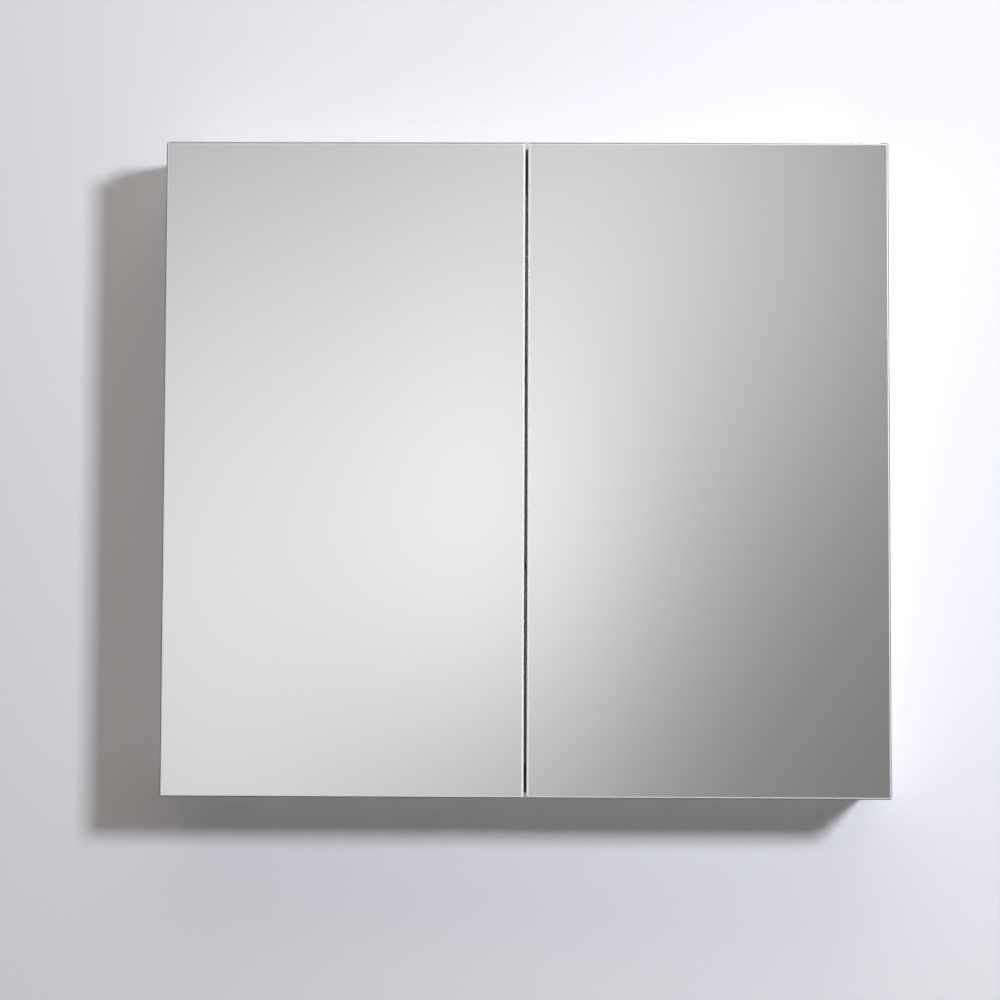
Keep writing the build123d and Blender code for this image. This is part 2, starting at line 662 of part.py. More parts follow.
def hinge_damper():
    """Soft-close damper between the arm's cheeks: housing and piston rod."""
    y0, y1 = DAMPER_Y
    housing = rod(DAMPER_R, (DAMPER_X, y0, 0), (DAMPER_X, y1, 0))
    return housing + rod(PISTON_R, (DAMPER_X, y0 - PISTON_OUT, 0), (DAMPER_X, y0, 0))


def per_hinge(pieces):
    """Like pieces of both hinges on the left door."""
    return group(at_hinge(piece, height) for height in HINGE_HEIGHTS for piece in pieces)


# ---------------------------------------------------------------- all nodes

left_nodes = {
    "side_profile": side_profile(),
    "side_mirror": side_mirror(),
    "door_mirror": door_mirror(),
    "door_core": door_core(),
    "door_back_mirror": door_back_mirror(),
    "hinge_cups": per_hinge([hinge_cup()]),
    "hinge_cup_pins": per_hinge(cup_pins()),
    "hinge_cup_screws": per_hinge(wing_screws()),
    "hinge_long_links": per_hinge([long_link()]),
    "hinge_short_links": per_hinge([short_link()]),
    "hinge_arms": per_hinge([hinge_arm()]),
    "hinge_arm_pins": per_hinge(arm_pins()),
    "hinge_plates": per_hinge([hinge_plate()]),
    "hinge_plate_screws": per_hinge(plate_screws()),
    "hinge_adjusting_screws": per_hinge(adjusting_screws()),
    "hinge_dampers": per_hinge([hinge_damper()]),
}
for name, strip in edge_strips().items():
    left_nodes[f"door_{name}"] = strip

for name, piece in left_nodes.items():
    save(piece, f"left_{name}")
    save(mirrored(piece), f"right_{name}")

low_base, high_base = rail_bases()
top = top_profile()
body_nodes = {
    "top_profile": top,
    "bottom_profile": mirrored(top, Plane.XY),
    "corner_keys": group(four_corners(corner_key())),
    "corner_screws": corner_screws(),
    "back_sheet": back_sheet(),
    "inner_mirror": inner_mirror(),
    "upper_wall_rail": wall_rail(high_base),
    "lower_wall_rail": wall_rail(low_base),
    "upper_hanging_rail": hanging_rail(high_base),
    "lower_hanging_rail": hanging_rail(low_base),
    "rail_rivets": rail_rivets(),
    "lower_shelf": shelf(SHELF_HEIGHTS[0]),
    "upper_shelf": shelf(SHELF_HEIGHTS[1]),
    "shelf_pins": shelf_pins(),
    "pin_sleeves": pin_sleeves(),
    "door_bumpers": door_bumpers(),
}
for name, piece in body_nodes.items():
    save(piece, name)
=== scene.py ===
from math import radians

import bmesh
import bpy
from bpy.props import FloatProperty, FloatVectorProperty, PointerProperty
from mathutils import Matrix, Vector


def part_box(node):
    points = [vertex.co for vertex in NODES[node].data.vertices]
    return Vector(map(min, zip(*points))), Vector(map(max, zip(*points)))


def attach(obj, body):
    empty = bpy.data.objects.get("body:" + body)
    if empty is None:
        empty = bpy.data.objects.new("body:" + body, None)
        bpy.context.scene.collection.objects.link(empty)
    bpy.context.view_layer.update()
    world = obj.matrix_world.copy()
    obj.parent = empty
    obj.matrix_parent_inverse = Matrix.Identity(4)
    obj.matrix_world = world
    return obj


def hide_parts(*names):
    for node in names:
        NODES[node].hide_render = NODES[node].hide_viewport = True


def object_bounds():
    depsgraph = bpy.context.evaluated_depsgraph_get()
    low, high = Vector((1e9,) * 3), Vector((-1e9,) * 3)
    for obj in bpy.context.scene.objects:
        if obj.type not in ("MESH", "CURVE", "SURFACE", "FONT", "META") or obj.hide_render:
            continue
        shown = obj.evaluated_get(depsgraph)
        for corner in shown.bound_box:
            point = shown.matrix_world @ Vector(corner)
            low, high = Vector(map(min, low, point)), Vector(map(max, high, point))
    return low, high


bl_info = {
    "name": "Mirrored medicine cabinet",
    "version": (1, 0, 0),
    "blender": (4, 5, 0),
    "location": "View3D > Sidebar > Cabinet",
    "description": "Finishes, small parts and studio for a wall-hung mirrored cabinet",
    "category": "Object",
}

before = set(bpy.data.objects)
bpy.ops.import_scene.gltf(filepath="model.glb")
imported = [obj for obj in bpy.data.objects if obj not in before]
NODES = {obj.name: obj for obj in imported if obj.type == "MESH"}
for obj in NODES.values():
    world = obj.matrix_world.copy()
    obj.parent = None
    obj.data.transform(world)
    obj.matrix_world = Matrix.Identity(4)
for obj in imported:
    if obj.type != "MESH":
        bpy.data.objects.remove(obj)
CAD_BOX = [list(corner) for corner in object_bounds()]
SIDES = ("left", "right")
QUARTER_TURN = radians(90)
SENSOR_WIDTH = 36.0

# mirror edges: share of the arris that scatters light instead of mirroring it, how much rougher the
# arris, the painted shade line and the ground edge are than the silver, and the depth of the ground
# edge
ARRIS_MATT = 0.8
ARRIS_ROUGHER = 0.2
SHADE_LINE_ROUGHER = 0.3
GROUND_ROUGHER = 0.2
GROUND_EDGE = (0.00002, 0.00006)

# finishes that no setting changes
BRIGHT_STEEL = (0.76, 0.76, 0.75)
DAMPER_GREY = (0.16, 0.17, 0.18)
BOARD_GREY = (0.78, 0.77, 0.75)
RUBBER_CLEAR = (0.92, 0.93, 0.93)
SHELF_TINT = (0.97, 0.99, 0.985)
SHELF_EDGE_TINT = (0.55, 0.78, 0.70)
SHELF_EDGE_DEPTH = 0.0016
FLOOR_LOW = (0.80, 0.80, 0.81)
FLOOR_HIGH = (0.84, 0.84, 0.85)

# modelling: the distances under which points are one and are near, the angle under which faces
# count as flat, smoothing angles, the angle past which a hinge's edge is rounded, and how much
# softer the cast plates' edges are than the pressings'
TOUCHING = 1e-6
NEAR = 1e-5
FLAT = radians(1)
NEW_SMOOTH = radians(40)
HINGE_SMOOTH = radians(35)
HINGE_SHARP = radians(50)
PLATE_SOFTER = 1.6

# colour of the room's light from straight below and straight above, the room as the camera sees it,
# and the tints of the lamps
ROOM_LOW = (0.13, 0.12, 0.116)
ROOM_HIGH = (0.80, 0.75, 0.73)
ROOM_SEEN = (0.74, 0.74, 0.77)
KEY_TINT = (0.94, 0.97, 1.09)
OVERHEAD_TINT = (1.05, 0.99, 0.97)

# the wall has a hole that the cabinet's back fills, so no light shows round the edge
WALL_Y = -0.0002
HOLE_PLAY = 0.00005
HOLE_X = CAD_BOX[1][0] + HOLE_PLAY
HOLE_Z = CAD_BOX[1][2] + HOLE_PLAY

# stage sizes and places, in metres, from the middle of the cabinet's back
WALL_SIZE = 9.0
FLOOR_SIZE = 12.0
BOARD_SIZE = 7.0
FRONT_BOARD = (0, -4.6, 0.6)
LEFT_BOARD = (-3.6, -3.2, 0.6)
RIGHT_BOARD = (3.6, -3.2, 0.6)
KEY_PLACE, KEY_AIM = (1.31, -2.27, 0.58), (0, -0.1, 0)
OVERHEAD_PLACE, OVERHEAD_AIM, OVERHEAD_SIZE = (0.3, -1.5, 2.5), (0.1, 0, 0.6), 1.8
BEHIND_PLACE, BEHIND_AIM, BEHIND_SIZE = (-1.1, 2.2, 1.1), (0, 0, 0), 1.4

# even glow of each board and its soft pools: strength, middle (along the board, z) and half sizes
LEFT_GROUND = 0.55
LEFT_POOLS = ((0.32, (-0.6, 0.4), (1.6, 1.6)),)
RIGHT_GROUND = 0.34
RIGHT_POOLS = ((0.42, (-0.4, 0.8), (1.3, 1.5)),)
FRONT_GROUND = 0.20
FRONT_POOLS = (
    (0.30, (-0.04, 0.03), (0.54, 0.77)),
    (0.55, (-1.00, -0.11), (1.00, 1.85)),
    (0.40, (0.36, 1.14), (0.92, 1.17)),
)


# ---------------------------------------------------------------- settings a user would change


class MirrorSettings(bpy.types.PropertyGroup):
    """Silvered glass of the doors, sides and back."""

    silver: FloatVectorProperty(
        name="Silver", description="Colour that the silvering gives to a reflection",
        subtype="COLOR", size=3, min=0, max=1, default=(0.93, 0.93, 0.93),
    )
    glass_edge: FloatVectorProperty(
        name="Glass edge", description="Colour of the ground edge of the glass",
        subtype="COLOR", size=3, min=0, max=1, default=(0.46, 0.52, 0.50),
    )
    polish: FloatVectorProperty(
        name="Polish", description="Colour of the polished arris round the glass",
        subtype="COLOR", size=3, min=0, max=1, default=(0.76, 0.77, 0.77),
    )
    # painted highlight: the arris where the doors meet is coloured paler than the rest of the same
    # arris
    meeting_highlight: FloatVectorProperty(
        name="Meeting polish", description="Colour of the arris where the doors meet",
        subtype="COLOR", size=3, min=0, max=1, default=(0.97, 0.975, 0.975),
    )
    # painted shade: a near-black line along the outer arris stands in for the shade at the glass
    # edge
    shade_line_colour: FloatVectorProperty(
        name="Outline colour", description="Colour of the dark line along the outer arris",
        subtype="COLOR", size=3, min=0, max=1, default=(0.045, 0.046, 0.048),
    )
    arris: FloatProperty(
        name="Arris", description="Width of the pale line round the glass",
        subtype="DISTANCE", unit="LENGTH", min=0, default=0.0021,
    )
    # width of the painted shade line along the outer arris
    outline: FloatProperty(
        name="Outline", description="Width of the dark line along the outer arris",
        subtype="DISTANCE", unit="LENGTH", min=0, default=0.0009,
    )
    gloss: FloatProperty(
        name="Silver roughness", description="How much the silvering blurs a reflection",
        min=0, max=1, default=0.012,
    )


class MetalSettings(bpy.types.PropertyGroup):
    """Aluminium of the body and plated steel of the hinges."""

    aluminium: FloatVectorProperty(
        name="Aluminium", description="Colour of the satin anodised profiles",
        subtype="COLOR", size=3, min=0, max=1, default=(0.74, 0.75, 0.76),
    )
    sheet: FloatVectorProperty(
        name="Sheet", description="Colour of the mill finish sheet and rails",
        subtype="COLOR", size=3, min=0, max=1, default=(0.66, 0.67, 0.68),
    )
    nickel: FloatVectorProperty(
        name="Nickel", description="Colour of the plated hinge pressings",
        subtype="COLOR", size=3, min=0, max=1, default=(0.70, 0.69, 0.66),
    )
    hinge_rounding: FloatProperty(
        name="Hinge rounding", description="Radius on the edges of the hinge pressings",
        subtype="DISTANCE", unit="LENGTH", min=0, default=0.00022,
    )
    brush_pitch: FloatProperty(
        name="Brush pitch", description="Distance between brush lines",
        subtype="DISTANCE", unit="LENGTH", min=0.0001, default=0.0008,
    )


class LipSettings(bpy.types.PropertyGroup):
    """Dust lips on the doors' meeting edges: a real rubber part whose near-black colour is also
    painted shade for the gap between the doors.
    """

    # painted shade: the lips' near-black colour stands in for the shade deep in the gap between the
    # doors
    colour: FloatVectorProperty(
        name="Lip", description="Colour of the dust lips",
        subtype="COLOR", size=3, min=0, max=1, default=(0.035, 0.035, 0.037),
    )
    width: FloatProperty(
        name="Lip width", description="Width of a lip's base along the door's thickness",
        subtype="DISTANCE", unit="LENGTH", min=0.002, default=0.009,
    )
    base: FloatProperty(
        name="Lip base", description="Thickness of a lip's base",
        subtype="DISTANCE", unit="LENGTH", min=0.0001, default=0.0003,
    )
    reach: FloatProperty(
        name="Lip reach", description="How far the rib stands out of the base",
        subtype="DISTANCE", unit="LENGTH", min=0.0001, default=0.0011,
    )
    from_back: FloatProperty(
        name="Lip from back", description="Distance from the back of the edge strip",
        subtype="DISTANCE", unit="LENGTH", min=0, default=0.0015,
    )
    from_end: FloatProperty(
        name="Lip from end", description="Distance from each end of the edge strip",
        subtype="DISTANCE", unit="LENGTH", min=0, default=0.002,
    )


class SealSettings(bpy.types.PropertyGroup):
    """Sealant round the inside mirror."""

    colour: FloatVectorProperty(
        name="Seal", description="Colour of the sealant",
        subtype="COLOR", size=3, min=0, max=1, default=(0.86, 0.87, 0.87),
    )
    bead: FloatProperty(
        name="Seal bead", description="Size of the bead",
        subtype="DISTANCE", unit="LENGTH", min=0.0002, default=0.0018,
    )
    play: FloatProperty(
        name="Seal play", description="Play round the mirror that the bead covers",
        subtype="DISTANCE", unit="LENGTH", min=0, default=0.0007,
    )


class StudioSettings(bpy.types.PropertyGroup):
    """Camera, lamps and the pale room round the cabinet."""

    lens: FloatProperty(
        name="Lens", description="Focal length on a 36 mm sensor",
        unit="CAMERA", min=1, default=76.5,
    )
    camera_place: FloatVectorProperty(
        name="Camera place", description="Camera position, from the middle of the cabinet's back",
        subtype="TRANSLATION", unit="LENGTH", size=3, default=(-0.0007, -2.239, -0.141),
    )
    yaw: FloatProperty(
        name="Yaw", description="Turn of the camera to the left",
        subtype="ANGLE", unit="ROTATION", default=radians(0.678),
    )
    pitch: FloatProperty(
        name="Pitch", description="Upward tilt of the camera",
        subtype="ANGLE", unit="ROTATION", default=radians(2.871),
    )
    roll: FloatProperty(
        name="Roll", description="Roll of the camera",
        subtype="ANGLE", unit="ROTATION", default=radians(-0.213),
    )
    wall_colour: FloatVectorProperty(
        name="Wall", description="Colour of the painted wall",
        subtype="COLOR", size=3, min=0, max=1, default=(0.80, 0.80, 0.80),
    )
    key_power: FloatProperty(
        name="Key power", description="Power of the main lamp, upper right",
        unit="POWER", min=0, default=55.0,
    )
    key_size: FloatProperty(
        name="Key size", description="Side of the main lamp's square",
        subtype="DISTANCE", unit="LENGTH", min=0.01, default=0.35,
    )
    overhead_power: FloatProperty(
        name="Overhead power", description="Power of the wide soft lamp above",
        unit="POWER", min=0, default=15.0,
    )
    behind_power: FloatProperty(
        name="Behind power", description="Power of the soft lamp that lights the cabinet's back",
        unit="POWER", min=0, default=60.0,
    )
    hang_height: FloatProperty(
        name="Hanging height", description="Height of the cabinet's middle above the floor",
        subtype="DISTANCE", unit="LENGTH", min=0.4, default=1.45,
    )


# ---------------------------------------------------------------- shader values as expressions


class Value:
    """An output of a shader node; arithmetic on it adds Math nodes."""

    def __init__(self, nodes, socket):
        self.nodes = nodes
        self.socket = socket

    def _math(self, operation, *terms):
        return self.nodes.add("ShaderNodeMath", {"operation": operation}, dict(enumerate(terms)))

    def __add__(self, other):
        return self._math("ADD", self, other)

    def __sub__(self, other):
        return self._math("SUBTRACT", self, other)

    def __mul__(self, other):
        return self._math("MULTIPLY", self, other)

    def __truediv__(self, other):
        return self._math("DIVIDE", self, other)

    def __radd__(self, other):
        return self._math("ADD", other, self)

    def __rsub__(self, other):
        return self._math("SUBTRACT", other, self)

    def __rmul__(self, other):
        return self._math("MULTIPLY", other, self)

    def least(self, other):
        return self._math("MINIMUM", self, other)

    def exp(self):
        return self._math("EXPONENT", self)

    def ramp(self, low, high, to_low=0.0, to_high=1.0):
        """Straight run from one value to another between two limits, held outside them."""
        inputs = {"Value": self, "From Min": low, "From Max": high}
        inputs.update({"To Min": to_low, "To Max": to_high})
        return self.nodes.add("ShaderNodeMapRange", {"clamp": True}, inputs)


class Nodes:
    """The nodes of a material or of the world: add() puts in any node."""

    def __init__(self, owner):
        owner.use_nodes = True
        self.tree = owner.node_tree

    def found(self, kind):
        """The node of a kind that the tree started with."""
        return next(node for node in self.tree.nodes if node.type == kind)

    def add(self, kind, settings=None, inputs=None, output=0):
        """A node of a kind: its settings first, then the values or links of its inputs."""
        node = self.tree.nodes.new(kind)
        for key, setting in (settings or {}).items():
            setattr(node, key, setting)
        for key, given in (inputs or {}).items():
            self.feed(node.inputs[key], given)
        return Value(self, node.outputs[output])

    def feed(self, socket, given):
        """Link a value to a socket, or set the socket to a constant."""
        if isinstance(given, Value):
            self.tree.links.new(given.socket, socket)
        else:
            socket.default_value = given

    def axes(self, coords):
        """The three parts of a vector."""
        split = self.add("ShaderNodeSeparateXYZ", {}, {0: coords})
        return [Value(self, output) for output in split.socket.node.outputs]

    def blend(self, share, first, second):
        """A colour between two, by a share from 0 to 1."""
        rgba = [c if isinstance(c, Value) else (*c[:3], 1.0) for c in (first, second)]
        inputs = {0: share, 6: rgba[0], 7: rgba[1]}
        return self.add("ShaderNodeMix", {"data_type": "RGBA"}, inputs, output=2)


class Finish(Nodes):
    """One material and its shader."""

    def __init__(self, name):
        self.material = bpy.data.materials.new(name)
        super().__init__(self.material)
        self.shader = self.found("BSDF_PRINCIPLED")
        self.surface = self.found("OUTPUT_MATERIAL").inputs["Surface"]

    def set(self, **inputs):
        """Constants or links on the shader, with spaces in socket names written as _."""
        for key, given in inputs.items():
            self.feed(self.shader.inputs[key.replace("_", " ")], given)
        return self

    def place(self):
        """The point on the piece, as three values in metres."""
        return self.axes(self.add("ShaderNodeTexCoord", output="Object"))

    def noise(self, scale, detail=2.0, stretch=(1, 1, 1), roughness=0.5):
        """Cloudy pattern from 0 to 1, scale in blobs per metre, stretched along the axes."""
        coords = self.add("ShaderNodeTexCoord", output="Object")
        spread = self.add("ShaderNodeMapping", {}, {"Vector": coords, "Scale": stretch})
        inputs = {"Vector": spread, "Scale": scale, "Detail": detail, "Roughness": roughness}
        return self.add("ShaderNodeTexNoise", {"noise_dimensions": "3D"}, inputs)

    def relief(self, height, depth, strength=1.0):
        """Bump from a height pattern; depth is in metres."""
        inputs = {"Height": height, "Distance": depth, "Strength": strength}
        return self.set(Normal=self.add("ShaderNodeBump", {}, inputs))


def tone(colour, share):
    """The same colour, lighter or darker."""
    return tuple(min(1.0, c * share) for c in colour)


# ---------------------------------------------------------------- finishes


def silvered_glass(node, thin_axis, settings, open_side=None):
    """Mirror for one flat plate: silver, a polished arris, a dark line of painted shade along the
    outer arris, and ground edges.

    open_side is (axis, end) of the side where two doors meet: a paler arris that is a painted
    highlight, and no painted shade line.
    """
    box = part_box(node)
    finish = Finish(f"silvered_glass_{node}")
    place = finish.place()
    across = [axis for axis in range(3) if axis != thin_axis]
    rims = {(axis, 0): place[axis] - box[0][axis] for axis in across}
    rims.update({(axis, 1): box[1][axis] - place[axis] for axis in across})
    rim = nearest(rims.values())
    shade_line_rim = nearest(distance for side, distance in rims.items() if side != open_side)
    on_edge = rim.ramp(*GROUND_EDGE, 1.0, 0.0)
    # painted shade: mask of the dark line along the outer arris, every side but the one where the
    # doors meet
    on_shade_line = band(shade_line_rim, settings.outline, 0.8)
    on_arris = band(rim, settings.arris)
    cloud = finish.noise(9.0, 3.0)
    grain = finish.noise(900.0, 2.0)
    silver = finish.blend(cloud * 0.35, settings.silver, tone(settings.silver, 0.99))
    arris_colour = settings.polish
    # painted highlight: a paler arris along the side where the two doors meet
    if open_side:
        highlight_by_gap = band(rims[open_side], settings.arris)
        arris_colour = finish.blend(highlight_by_gap, settings.polish, settings.meeting_highlight)
    polished = finish.blend(on_arris, silver, arris_colour)
    # painted shade: the near-black line laid over the silver and the arris
    outline = finish.blend(on_shade_line, polished, settings.shade_line_colour)
    ground = finish.blend(grain, tone(settings.glass_edge, 0.8), tone(settings.glass_edge, 1.15))
    finish.set(Base_Color=finish.blend(on_edge, outline, ground))
    finish.set(Metallic=1.0 - on_arris * ARRIS_MATT)
    finish.set(
        Roughness=settings.gloss + on_arris * ARRIS_ROUGHER + on_shade_line * SHADE_LINE_ROUGHER
        + on_edge * grain * GROUND_ROUGHER
    )
    return finish.material


def band(distance, width, sharp=0.85):
    """1 within a width of an edge and 0 beyond it, fading over the band's last part."""
    return distance.ramp(width * sharp, width, 1.0, 0.0)


def nearest(distances):
    """The least of several distances."""
    distances = list(distances)
    least = distances[0]
    for other in distances[1:]:
        least = least.least(other)
    return least


def brushed_metal(name, colour, along, pitch, rough=0.30):
    """Satin metal brushed along one axis, with soft blotches and fine lines."""
    finish = Finish(name)
    stretch = [1.0, 1.0, 1.0]
    stretch[along] = 0.012
    lines = finish.noise(1.0 / pitch, 3.0, stretch, 0.6)
    blotches = finish.noise(22.0, 3.0)
    shade = lines * 0.6 + blotches * 0.4
    finish.set(Base_Color=finish.blend(shade, tone(colour, 0.95), tone(colour, 1.04)))
    finish.set(Metallic=1.0)
    finish.set(Roughness=rough + (lines - 0.5) * 0.10 + (blotches - 0.5) * 0.05)
    finish.relief(lines, 0.000012, 0.3)
    return finish.material


def plated_metal(name, colour, rough, grain_size=0.0012, depth=0.00002):
    """Plated pressing or casting: fine grain and slightly uneven gloss."""
    finish = Finish(name)
    grain = finish.noise(1.0 / grain_size, 3.0)
    bloom = finish.noise(70.0, 2.0)
    finish.set(Base_Color=finish.blend(bloom, tone(colour, 0.88), tone(colour, 1.08)))
    finish.set(Metallic=1.0)
    finish.set(Roughness=rough + (bloom - 0.5) * 0.12 + (grain - 0.5) * 0.08)
    finish.relief(grain, depth, 0.4)
    return finish.material


def faced_board(name, colour):
    """Dense pale grey board."""
    finish = Finish(name)
    chips = finish.noise(420.0, 4.0)
    finish.set(Base_Color=finish.blend(chips, tone(colour, 0.86), tone(colour, 1.04)))
    finish.set(Roughness=0.55 + chips * 0.2)
    finish.relief(chips, 0.00008, 0.5)
    return finish.material


def clear_glass(node):
    """Clear shelf glass that deepens to green near its rim."""
    low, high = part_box(node)
    finish = Finish(f"glass_{node}")
    x, y, _ = finish.place()
    rim = (x - low.x).least(high.x - x).least(y - low.y).least(high.y - y)
    near_rim = band(rim, SHELF_EDGE_DEPTH, 0.0)
    finish.set(Base_Color=finish.blend(near_rim, SHELF_TINT, SHELF_EDGE_TINT))
    finish.set(Transmission_Weight=1.0, IOR=1.52)
    smear = finish.noise(35.0, 3.0)
    finish.set(Roughness=0.004 + near_rim * 0.10 + smear.ramp(0.55, 0.8) * 0.01)
    return finish.material


def soft_clear(name, colour):
    """Soft clear rubber of the bumpers and pin sleeves."""
    finish = Finish(name)
    haze = finish.noise(800.0, 2.0)
    finish.set(Base_Color=finish.blend(haze, tone(colour, 0.95), colour))
    finish.set(Transmission_Weight=0.7, IOR=1.45)
    finish.set(Roughness=0.22 + haze * 0.12)
    return finish.material


def silicone(name, colour):
    """Neutral sealant, tooled smooth."""
    finish = Finish(name)
    waves = finish.noise(180.0, 2.0)
    finish.set(Base_Color=finish.blend(waves, tone(colour, 0.94), tone(colour, 1.04)))
    finish.set(Roughness=0.28 + waves * 0.1)
    finish.relief(waves, 0.0002, 0.4)
    return finish.material


def moulded_plastic(name, colour):
    """Finely textured moulding."""
    finish = Finish(name)
    grain = finish.noise(2600.0, 2.0)
    bloom = finish.noise(60.0, 2.0)
    finish.set(Base_Color=finish.blend(bloom, tone(colour, 0.88), tone(colour, 1.12)))
    finish.set(Roughness=0.38 + grain * 0.12)
    finish.relief(grain, 0.00003, 0.5)
    return finish.material


def assign(node, material):
    """Give a CAD node its finish."""
    slots = NODES[node].material_slots
    if not slots:
        NODES[node].data.materials.append(material)
    for slot in slots:
        slot.material = material


# ---------------------------------------------------------------- operators


class CABINET_OT_mirrors(bpy.types.Operator):
    """Silver the doors, their backs, the sides and the inside back"""

    bl_idname = "cabinet.mirrors"
    bl_label = "Mirrors"

    def execute(self, context):
        settings = context.scene.cabinet_mirror
        plates = (("door_mirror", 1), ("door_back_mirror", 1), ("side_mirror", 0))
        for side in SIDES:
            for part, thin_axis in plates:
                node = f"{side}_{part}"
                open_side = (0, SIDES.index(side) ^ 1) if part == "door_mirror" else None
                assign(node, silvered_glass(node, thin_axis, settings, open_side))
        assign("inner_mirror", silvered_glass("inner_mirror", 1, settings))
        return {"FINISHED"}


class CABINET_OT_body(bpy.types.Operator):
    """Finish the profiles, sheet, rails and door edges"""

    bl_idname = "cabinet.body"
    bl_label = "Body metal"

    def execute(self, context):
        settings = context.scene.cabinet_metal
        pitch = settings.brush_pitch
        upright = brushed_metal("satin_aluminium_upright", settings.aluminium, 2, pitch)
        level = brushed_metal("satin_aluminium_level", settings.aluminium, 0, pitch)
        rolled = brushed_metal("mill_sheet", settings.sheet, 0, pitch * 1.5, 0.36)
        board = faced_board("door_board", BOARD_GREY)
        for side in SIDES:
            assign(f"{side}_side_profile", upright)
            assign(f"{side}_door_hinge_edge", upright)
            assign(f"{side}_door_free_edge", upright)
            assign(f"{side}_door_top_edge", level)
            assign(f"{side}_door_bottom_edge", level)
            assign(f"{side}_door_core", board)
        for node in ("top_profile", "bottom_profile"):
            assign(node, level)
        for node in ("back_sheet", "rail_rivets"):
            assign(node, rolled)
        for height in ("upper", "lower"):
            assign(f"{height}_wall_rail", rolled)
            assign(f"{height}_hanging_rail", rolled)
        return {"FINISHED"}


class CABINET_OT_hinges(bpy.types.Operator):
    """Plate the hinges and the screws"""

    bl_idname = "cabinet.hinges"
    bl_label = "Hinges and screws"

    def execute(self, context):
        settings = context.scene.cabinet_metal
        nickel = plated_metal("nickel_pressing", settings.nickel, 0.24)
        casting = plated_metal("zinc_casting", tone(settings.nickel, 0.92), 0.38, 0.0008, 0.00004)
        bright = plated_metal("bright_steel", BRIGHT_STEEL, 0.20)
        grey = moulded_plastic("damper_plastic", DAMPER_GREY)
        parts = {
            "hinge_cups": nickel, "hinge_long_links": nickel, "hinge_short_links": nickel,
            "hinge_arms": nickel, "hinge_plates": casting, "hinge_dampers": grey,
            "hinge_cup_pins": bright, "hinge_arm_pins": bright, "hinge_cup_screws": bright,
            "hinge_plate_screws": bright, "hinge_adjusting_screws": bright,
        }
        for side in SIDES:
            for part, material in parts.items():
                assign(f"{side}_{part}", material)
        assign("corner_keys", casting)
        assign("corner_screws", bright)
        assign("shelf_pins", bright)
        return {"FINISHED"}


class CABINET_OT_shelves(bpy.types.Operator):
    """Finish the glass shelves and the clear sleeves and dots"""

    bl_idname = "cabinet.shelves"
    bl_label = "Shelves"

    def execute(self, context):
        for node in ("lower_shelf", "upper_shelf"):
            assign(node, clear_glass(node))
        clear = soft_clear("clear_rubber", RUBBER_CLEAR)
        assign("pin_sleeves", clear)
        assign("door_bumpers", clear)
        return {"FINISHED"}


# ---------------------------------------------------------------- modelling


def block_piece(name, low, high):
    """A block between two corners, its place in its mesh, ready to be shaped."""
    bpy.ops.object.select_all(action="DESELECT")
    middle = [(a + b) / 2 for a, b in zip(low, high)]
    bpy.ops.mesh.primitive_cube_add(size=1.0, location=middle)
    piece = bpy.context.object
    piece.name = piece.data.name = name
    piece.scale = [b - a for a, b in zip(low, high)]
    bpy.ops.object.transform_apply(location=True, rotation=True, scale=True)
    return piece


def pick_faces(piece, test):
    """In edit mode, select only the faces whose normal passes a test."""
    bpy.ops.mesh.select_mode(type="FACE")
    bpy.ops.mesh.select_all(action="DESELECT")
    mesh = bmesh.from_edit_mesh(piece.data)
    for face in mesh.faces:
        face.select_set(test(face.normal))
    bmesh.update_edit_mesh(piece.data)


def pick_edges(piece, test):
    """In edit mode, select only the edges whose middle passes a test."""
    bpy.ops.mesh.select_mode(type="EDGE")
    bpy.ops.mesh.select_all(action="DESELECT")
    mesh = bmesh.from_edit_mesh(piece.data)
    for edge in mesh.edges:
        start, end = edge.verts
        edge.select_set(test((start.co + end.co) / 2))
    bmesh.update_edit_mesh(piece.data)


def extrude_by(step):
    """Push the selected faces out."""
    bpy.ops.mesh.extrude_region_move(TRANSFORM_OT_translate={"value": step})


def finish_piece(piece, body, material):
    """Smooth by angle, then fix the piece to its body with its slot and finish."""
    bpy.ops.mesh.select_all(action="SELECT")
    bpy.ops.mesh.remove_doubles(threshold=TOUCHING)
    bpy.ops.mesh.normals_make_consistent(inside=False)
    bpy.ops.object.mode_set(mode="OBJECT")
    bpy.ops.object.shade_smooth_by_angle(angle=NEW_SMOOTH)
    piece.data.materials.append(material)
    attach(piece, body)


def rounded_copy(node, body, width):
    """Copy of a CAD node with its sharp edges rounded, in the node's place."""
    source = NODES[node]
    piece = bpy.data.objects.new(f"{node}_rounded", source.data.copy())
    bpy.context.scene.collection.objects.link(piece)
    bpy.ops.object.select_all(action="DESELECT")
    piece.select_set(True)
    bpy.context.view_layer.objects.active = piece
    bpy.ops.object.mode_set(mode="EDIT")
    bpy.ops.mesh.select_all(action="SELECT")
    bpy.ops.mesh.remove_doubles(threshold=TOUCHING)
    bpy.ops.mesh.dissolve_limited(angle_limit=FLAT)
    bpy.ops.object.mode_set(mode="OBJECT")
    rounding = piece.modifiers.new("rounding", "BEVEL")
    rounding.width = width
    rounding.segments = 2
    rounding.limit_method = "ANGLE"
    rounding.angle_limit = HINGE_SHARP
    rounding.miter_outer = "MITER_ARC"
    bpy.ops.object.modifier_apply(modifier=rounding.name)
    bpy.ops.object.shade_smooth_by_angle(angle=HINGE_SMOOTH)
    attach(piece, body)
    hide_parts(node)


class CABINET_OT_rounded_hinges(bpy.types.Operator):
    """Round the pressed and cast edges of the hinges"""

    bl_idname = "cabinet.rounded_hinges"
    bl_label = "Rounded hinges"

    def execute(self, context):
        width = context.scene.cabinet_metal.hinge_rounding
        for side in SIDES:
            rounded_copy(f"{side}_hinge_arms", "cabinet", width)
            rounded_copy(f"{side}_hinge_plates", "cabinet", width * PLATE_SOFTER)
            rounded_copy(f"{side}_hinge_cups", f"{side}_door", width)
        return {"FINISHED"}


